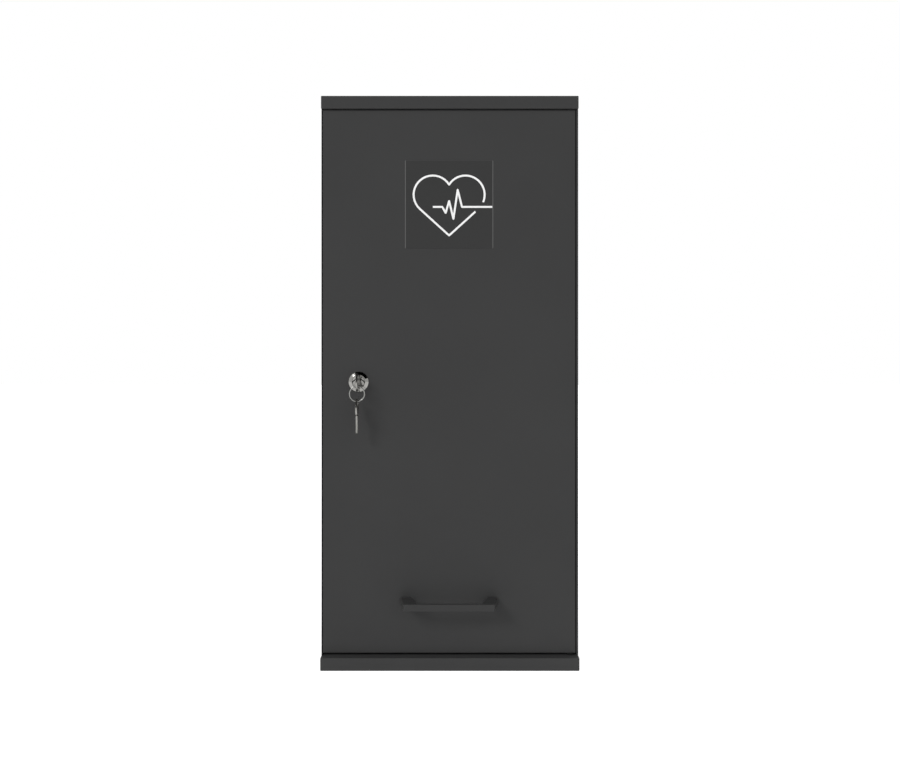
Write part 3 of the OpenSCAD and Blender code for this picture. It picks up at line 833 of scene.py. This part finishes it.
def makePlated(node, name, body, edge):        # a zinc-plated copy of a node's solid, its edges broken
    piece = twinOf(bpy.data.objects[node], name)
    piece.data.materials.clear()
    piece.hide_render = False
    editAll(piece)
    bpy.ops.mesh.remove_doubles(threshold=near)
    bpy.ops.mesh.dissolve_limited(angle_limit=math.radians(1))
    backToObject()
    roundEdges(piece, edge)
    finished(piece, body, zincSteel, [node])


makePlated("pin_blocks", "pinBlocks", "door", edge=0.0004)
makePlated("shelf_clips", "shelfClips", "cabinet", edge=0.0002)
print("door's inner pieces made")

handleValues = {"foot": 0.012, "lean": 0.005, "web": 0.008, "barThick": 0.005, "edge": 0.0008,
                "edgeSteps": 3}


def makeHandle():                      # a flat bow whose legs lean inwards and widen towards the door
    low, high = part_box("handle")
    middle, half = (low.x + high.x) / 2, (high.x - low.x) / 2
    lean, web = handleValues["lean"], handleValues["web"]
    barBack = low.y + handleValues["barThick"]
    inner = half - handleValues["foot"] - web
    grip = addBlock("handleBow", Vector((middle - half + lean, low.y, low.z)),
                    Vector((middle + half - lean, barBack, high.z)))
    for side in (-1, 1):
        cutAcross(grip, (middle + side * inner, 0, 0), across)
    editPicked(grip, "FACE", lambda centre, normal: normal.y > facing and abs(centre.x - middle) > inner)
    bpy.ops.mesh.extrude_region_move(TRANSFORM_OT_translate={"value": (0, high.y - barBack, 0)})
    backToObject()
    outerShift = lean * (barBack - low.y) / (high.y - low.y)
    for side in (-1, 1):
        for depth, place, shift in ((high.y, half - lean, lean), (high.y, inner, web),
                                    (barBack, half - lean, outerShift)):
            spotX = middle + side * place
            editPicked(grip, "VERT", lambda spot: same(spot.y, depth) and same(spot.x, spotX))
            bpy.ops.transform.translate(value=(side * shift, 0, 0))
            backToObject()
    roundEdges(grip, handleValues["edge"], handleValues["edgeSteps"], minAngle=20)
    finished(grip, "door", doorPaint, ["handle"])


makeHandle()

# The tip is a share of the shank's radius; shoulder, crown and flat are shares of the head's
screwValues = {"recess": 0.0011, "recessWide": 0.00104, "recessLong": 0.003328, "dome": 0.0007,
               "point": 0.0006, "tip": 0.7, "shoulder": 0.93, "crown": 0.75, "crownDown": 0.3, "flat": 0.4,
               "handleShank": 0.002, "camShank": 0.0025, "sides": 40}


def panScrew(name, seat, along, headRadius, headHeight, shankRadius, shankLength):
    # the head stands along the axis from its seat, the shank goes the other way
    values, dome = screwValues, screwValues["dome"]
    rings = [[shankRadius * values["tip"], -shankLength], [shankRadius, -shankLength + values["point"]],
             [shankRadius, 0], [headRadius, 0], [headRadius, headHeight - 2 * dome],
             [headRadius * values["shoulder"], headHeight - dome],
             [headRadius * values["crown"], headHeight - dome * values["crownDown"]],
             [headRadius * values["flat"], headHeight]]
    screw = turned(name, rings, seat, along, sides=values["sides"])
    top = seat + along * headHeight
    wide, long = values["recessWide"] / 2, values["recessLong"] / 2
    for half in (Vector((wide, values["recess"], long)), Vector((long, values["recess"], wide))):
        combine(screw, addBlock("recess", top - half, top + half))
    return screw


def makeHandleScrews():
    low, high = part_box("handle_screws")
    seat, other = screwPlaces()
    apart = other - seat
    seat.y = doorFace + sheet
    first = panScrew("screwLeft", seat, back, (high.z - low.z) / 2, high.y - seat.y,
                     screwValues["handleShank"], seat.y - low.y)
    second = movedTwin(first, "screwRight", apart)
    finished(joined("handleScrews", [first, second]), "door", zincSteel, ["handle_screws"])


makeHandleScrews()
print("handle bent and screwed")

signValues = {"corner": 0.0015, "cornerSteps": 5, "edge": 0.00006}


def makeSignPlate():
    sign = addBlock("signPlate", signLow, signHigh)
    editPicked(sign, "EDGE", lambda one, two: not same(one.y, two.y))
    bevelPicked(signValues["corner"], signValues["cornerSteps"])
    roundEdges(sign, signValues["edge"], 1)
    finished(sign, "door", signFilm, ["sign_film"])


makeSignPlate()
print("sign laid on")

# The lock: its housing, the plug with the keyway, the nut, the cam and its screw
lockMiddle = middleOf("lock_housing")
lockValues = {"rimWidth": 0.0033, "rimHeight": 0.0019, "rimEase": 0.0002, "clearance": 0.00005,
              "threadDepth": 0.0005, "threadPitch": 0.0012, "lip": 0.0002}
notchValues = {"turn": -43, "out": 0.0106, "long": 0.0036, "wide": 0.0013, "deep": 0.0024}


def makeHousing():
    low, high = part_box("lock_housing")
    face, bore = radiusOf("lock_housing"), radiusOf("lock_plug") + lockValues["clearance"]
    lip, ease, barrel = lockValues["lip"], lockValues["rimEase"], doorValues["lockHole"]
    inRim, rimHeight = face - lockValues["rimWidth"], lockValues["rimHeight"]
    stands, length = doorFace - low.y, high.y - low.y
    rings = [[bore, lip], [bore + lip, 0], [inRim - ease, 0], [inRim + ease, ease / 2],
             [face - ease, rimHeight - ease / 2], [face, rimHeight + ease], [face, stands], [barrel, stands]]
    start, pitch, root = stands + 2 * sheet, lockValues["threadPitch"], barrel - lockValues["threadDepth"]
    for turn in range(int((length - start) / pitch)):
        crest = start + turn * pitch
        rings += [[barrel, crest], [root, crest + pitch / 2]]
    rings += [[root, length], [bore, length], [bore, lip]]
    centre = Vector((lockMiddle.x, low.y, lockMiddle.z))
    housing = turned("lockHousing", rings, centre, back, closed=True)
    turn = math.radians(notchValues["turn"])           # a notch in the rim, low at the right
    middle = centre + (across * math.cos(turn) + up * math.sin(turn)) * notchValues["out"]
    half = Vector((notchValues["long"], notchValues["deep"] + beyond, notchValues["wide"])) / 2
    middle.y += notchValues["deep"] - half.y
    combine(housing, addBlock("rimNotch", middle - half, middle + half, (0, -turn, 0)))
    finished(housing, "door", lockChrome, ["lock_housing"], angle=20)


makeHousing()

plugValues = {"lip": 0.0002, "pip": 0.0004, "dish": 0.0001, "camGap": 0.0002, "square": 0.008,
              "squareInto": 0.002, "slotWide": 0.0023, "slotHigh": 0.0083, "slotBeyondKey": 0.0004,
              "screwHole": 0.00254, "screwHoleDeep": 0.03, "screwBeyondTip": 0.0004}
engraving = {"radius": 0.0083, "drop": 0.0049, "wide": 0.0012, "deep": 0.0016}


def makePlug():
    low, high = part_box("lock_plug")
    radius, lip, dish = radiusOf("lock_plug"), plugValues["lip"], plugValues["dish"]
    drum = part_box("lock_cam")[0].y - plugValues["camGap"] - low.y
    rings = [[plugValues["pip"], dish], [radius - 3 * lip, dish], [radius - 2 * lip, 0], [radius - lip, 0],
             [radius, lip], [radius, drum - lip], [radius - lip, drum]]
    centre = Vector((lockMiddle.x, low.y, lockMiddle.z))
    plug = turned("lockPlug", rings, centre, back)
    half = (across + up) * plugValues["square"] / 2
    combine(plug, addBlock("drive", centre - half + back * (drum - plugValues["squareInto"]),
                           centre + half + back * (high.y - low.y)), "UNION")
    half = (across * plugValues["slotWide"] + up * plugValues["slotHigh"]) / 2
    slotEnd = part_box("key")[1].y + plugValues["slotBeyondKey"] - low.y
    combine(plug, addBlock("keyway", centre - half - back * beyond, centre + half + back * slotEnd))
    inner, outer = (engraving["radius"] + side * engraving["wide"] / 2 for side in (-1, 1))
    deep = engraving["deep"]
    rings = [[inner, -beyond], [outer, -beyond], [outer, deep], [inner, deep], [inner, -beyond]]
    combine(plug, turned("mark", rings, centre - up * engraving["drop"], back, closed=True))
    centre.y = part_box("cam_screw")[0].y - plugValues["screwBeyondTip"]
    combine(plug, addRod("screwHole", centre, back, plugValues["screwHoleDeep"], plugValues["screwHole"]))
    finished(plug, "lock_cylinder", lockChrome, ["lock_plug"], angle=30)


makePlug()
makePlated("lock_nut", "lockNut", "door", edge=0.0003)
makePlated("lock_cam", "lockCam", "lock_cylinder", edge=0.0003)


def makeCamScrew():
    low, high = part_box("cam_screw")
    seat = Vector((lockMiddle.x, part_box("lock_cam")[1].y, lockMiddle.z))
    screw = panScrew("camScrew", seat, back, radiusOf("cam_screw"), high.y - seat.y,
                     screwValues["camShank"], seat.y - low.y)
    finished(screw, "lock_cylinder", zincSteel, ["cam_screw"])


makeCamScrew()
print("lock turned")

# The two keys and the split ring. Each notch is its place along the blade and its depth
keyValues = {"bow": 0.0207, "blade": 0.008, "bladeLength": 0.017, "neck": 0.002, "neckHigh": 0.0096,
             "hole": 0.0105, "holeShift": 0.003, "groove": 0.0004, "grooveHigh": 0.0014,
             "grooveLow": -0.0018, "grooveStart": 0.0004, "notchCutter": 0.002,
             "notches": ((0.004, 0.0012), (0.007, 0.002), (0.010, 0.001), (0.013, 0.0016)),
             "tip": 0.001, "sliver": 0.00002, "edge": 0.00022, "holeSides": 48, "bowSides": 72}


def cutKey(name, thick):
    # lying in the Y-Z plane, its shoulder at the origin and its blade towards +Y
    values, half = keyValues, thick / 2
    bow, neck, neckHigh = values["bow"], values["neck"], values["neckHigh"]
    tall, long, cutter = values["blade"] / 2, values["bladeLength"], values["notchCutter"]
    bowMiddle = Vector((-half, -neck - bow / 2, 0))
    key = addRod(name, bowMiddle, across, thick, bow / 2, values["bowSides"])
    blade = addBlock("blade", Vector((-half, -beyond, -tall)), Vector((half, long, tall)))
    editPicked(blade, "EDGE", lambda one, two: same(one.y, long) and same(two.y, long)
               and not same(one.x, two.x))
    bevelPicked(values["tip"], 1)
    combine(key, addBlock("neck", Vector((-half, -neck - bow / 4, -neckHigh / 2)),
                          Vector((half, 0, neckHigh / 2))), "UNION")
    combine(key, blade, "UNION")
    for along, depth in values["notches"]:
        top = Vector((0, along, tall + cutter * math.sqrt(2) - depth))
        corner = Vector((thick, cutter, cutter))
        combine(key, addBlock("notch", top - corner, top + corner, (math.radians(45), 0, 0)))
    grooveLow, deep = values["grooveLow"], values["groove"]
    for face in (-half, half):
        combine(key, addBlock("groove", Vector((face - deep, values["grooveStart"], grooveLow)),
                              Vector((face + deep, long + beyond, grooveLow + values["grooveHigh"]))))
    cleaned(key, values["sliver"])
    roundEdges(key, values["edge"], minAngle=35)
    hole = Vector((-thick, bowMiddle.y - values["holeShift"], 0))
    combine(key, addRod("hole", hole, across, 2 * thick, values["hole"] / 2, values["holeSides"]))
    return key


def placedKey(node, name, body, hangs):
    low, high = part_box(node)
    key = cutKey(name, high.x - low.x)
    key.location = middleOf(node)
    if hangs:                          # from the ring, its blade down
        key.rotation_euler = (math.radians(-90), 0, 0)
        key.location.z = low.z + keyValues["bladeLength"]
    else:
        key.location.y, key.location.z = high.y - keyValues["bladeLength"], lockMiddle.z
    settle(key)
    finished(key, body, keyNickel, [node], angle=35)


placedKey("key", "keyInLock", "key", False)
placedKey("spare_key", "keyOnRing", "spare_key", True)

ringValues = {"wide": 0.00063, "thin": 0.00031, "pitch": 0.00064, "turns": 2, "stepsPerTurn": 72,
              "wireSides": 16, "lean": -60}


def makeSplitRing():                   # flat wire in two turns that lie on each other
    low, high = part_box("key_ring")
    radius = (high.x - low.x) / 2 - (high.y - low.y) / 2
    turns, climb = ringValues["turns"], ringValues["pitch"] * (ringValues["turns"] - 1)
    startClean()
    bpy.ops.mesh.primitive_circle_add(vertices=ringValues["wireSides"], radius=ringValues["wide"],
                                      location=(radius, 0, 0), rotation=(math.radians(90), 0, 0))
    coil = named("splitRing")
    coil.scale.y = ringValues["thin"] / ringValues["wide"]
    settle(coil)
    steps = ringValues["stepsPerTurn"] * turns
    useModifier(coil, "SCREW", angle=math.radians(360) * turns, screw_offset=climb, axis="Z", steps=steps,
                render_steps=steps)
    editAll(coil, "EDGE")
    bpy.ops.mesh.fill_holes(sides=0)
    backToObject()
    faceOutward(coil)
    coil.rotation_euler = (math.radians(90), math.radians(ringValues["lean"]), 0)
    coil.location = (low + high) / 2 + back * climb / 2
    settle(coil)
    finished(coil, "key_ring", drawnSteel, ["key_ring"], angle=50)


makeSplitRing()
print("keys cut and hung")

# The nodes that keep their own shape
keptFinishes = {"ceiling_panel": carcassPaint, "back_panel": carcassPaint, "wall_strips": zincSteel,
                "shelf_rails": zincSteel, "sign_print": signPrint}
for node, finish in keptFinishes.items():
    bpy.data.objects[node].data.materials.clear()
    bpy.data.objects[node].data.materials.append(finish)
print("kept nodes finished")

floorValues = {"side": 12.0, "colour": (0.92, 0.92, 0.92), "glow": 0.70}


def makeFloor():                       # pale paper that glows a little where it is seen
    startClean()
    bpy.ops.mesh.primitive_plane_add(size=floorValues["side"], location=(0, 0, 0))
    floor = named("studioFloor")
    paper, tree, shader = newFinish("studioPaper", floorValues["colour"], 1.0, specular=0.0)
    seen = addSeen(tree)[0]
    feed(tree, shader["Emission Color"], (1, 1, 1))
    feed(tree, shader["Emission Strength"], addMath(tree, "MULTIPLY", seen, floorValues["glow"]))
    layOut(tree)
    floor.data.materials.append(paper)


makeFloor()

# Each pair is where a change of tone starts and where it is complete, along the ray
skyValues = {"front": 0.93, "top": 0.56, "rear": 1.0, "rearStarts": (-0.1, 0.5), "topStarts": (0.35, 0.9),
             "panel": 1.0, "panelSlope": 0.2, "panelLeft": (-0.46, -0.42), "panelLow": (0.14, 0.17),
             "panelEnd": (0.08, -0.02)}


def makeSky():
    world = bpy.data.worlds.new("studio")
    bpy.context.scene.world = world
    world.use_nodes = True
    tree, values = world.node_tree, skyValues
    tree.nodes.clear()
    x, y, z = addSplit(tree, addPlace(tree, "Generated"))
    seen, mirror = addSeen(tree)
    level = addRange(tree, y, *values["rearStarts"], values["front"], values["rear"])
    toned = addMix(tree, "FLOAT", addRange(tree, z, *values["topStarts"]), level, values["top"])
    white = addMix(tree, "FLOAT", seen, toned, 1.0)
    # bright metal also mirrors a dark panel that hangs up and to the right in front
    slope = addMath(tree, "SUBTRACT", z, addMath(tree, "MULTIPLY", x, values["panelSlope"]))
    panel = mirror
    for way, limits in ((x, "panelLeft"), (slope, "panelLow"), (y, "panelEnd")):
        panel = addMath(tree, "MULTIPLY", panel, addRange(tree, way, *values[limits]))
    kept = addMath(tree, "MULTIPLY_ADD", panel, -values["panel"], 1.0)
    sky = addNode(tree, "ShaderNodeBackground")
    feed(tree, sky.inputs["Color"], (1, 1, 1))
    feed(tree, sky.inputs["Strength"], addMath(tree, "MULTIPLY", white, kept))
    feed(tree, addNode(tree, "ShaderNodeOutputWorld").inputs["Surface"], sky.outputs[0])
    layOut(tree)


makeSky()

lampValues = {"power": 0.89, "spread": 17, "from": Vector((-0.57, -0.61, 0.55))}


def makeSoftLamp():                    # a wide soft lamp far off, up and to the left
    startClean()
    bpy.ops.object.light_add(type="SUN", location=lampValues["from"] * 3)
    lamp = named("softLamp")
    lamp.data.angle = math.radians(lampValues["spread"])
    lamp.data.energy = lampValues["power"]
    lamp.rotation_euler = (-lampValues["from"]).to_track_quat("-Z", "Y").to_euler()


makeSoftLamp()

cameraValues = {"across": 0.00023, "ahead": 1.0, "height": 0.385, "lens": 34.61, "sensor": 36,
                "shift": -0.05047}


def makeCamera():                      # level, a metre in front of the base
    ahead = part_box("base_tray")[0].y - cameraValues["ahead"]
    startClean()
    bpy.ops.object.camera_add(location=(cameraValues["across"], ahead, cameraValues["height"]),
                              rotation=(math.radians(90), 0, 0))
    camera = named("photoCamera")
    camera.data.sensor_width = cameraValues["sensor"]
    camera.data.lens = cameraValues["lens"]
    camera.data.shift_y = cameraValues["shift"]
    bpy.context.scene.camera = camera


makeCamera()
bpy.context.scene.view_settings.view_transform = "Standard"
print("stage, light and camera set")
